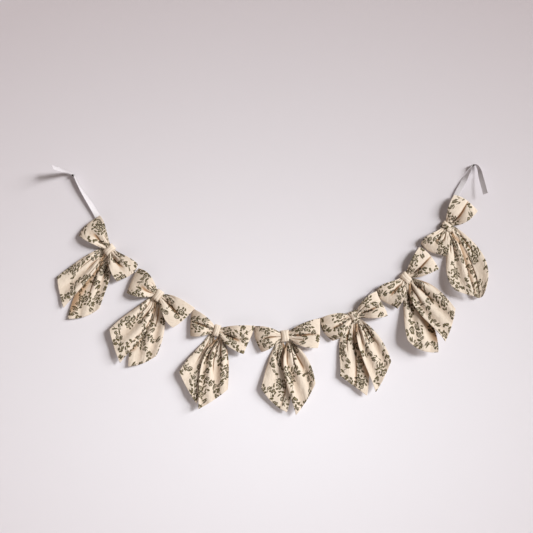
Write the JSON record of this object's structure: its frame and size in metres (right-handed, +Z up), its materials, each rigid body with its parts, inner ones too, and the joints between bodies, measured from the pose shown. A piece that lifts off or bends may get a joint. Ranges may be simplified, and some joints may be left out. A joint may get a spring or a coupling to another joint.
{
  "type": "fabric bow garland with wall nails",
  "caption": "Swag of floral cotton bows with pointed hanging tails, threaded on a white satin ribbon that hangs from a nail in the wall at each end.",
  "frame": {"origin": "the point on the wall halfway between the two nails", "axes": "+X along the wall to the right, +Z up, +Y into the wall; the wall is the plane y = 0 and the garland lies at negative y"},
  "size_m": [1.0372, 0.0646, 0.599],
  "materials": {
    "printed_cotton": "plain-woven cotton, cream with an olive floral print, matte",
    "satin_ribbon": "white satin ribbon, soft sheen",
    "nail_steel": "blackened steel nail"
  },
  "bodies": {
    "root": {"loops_1": "printed_cotton", "tails_1": "printed_cotton", "knot_1": "printed_cotton", "loops_2": "printed_cotton", "tails_2": "printed_cotton", "knot_2": "printed_cotton", "loops_3": "printed_cotton", "tails_3": "printed_cotton", "knot_3": "printed_cotton", "loops_4": "printed_cotton", "tails_4": "printed_cotton", "knot_4": "printed_cotton", "loops_5": "printed_cotton", "tails_5": "printed_cotton", "knot_5": "printed_cotton", "loops_6": "printed_cotton", "tails_6": "printed_cotton", "knot_6": "printed_cotton", "loops_7": "printed_cotton", "tails_7": "printed_cotton", "knot_7": "printed_cotton", "ribbon": "satin_ribbon", "nail_left": "nail_steel", "nail_right": "nail_steel"}
  },
  "joints": []
}
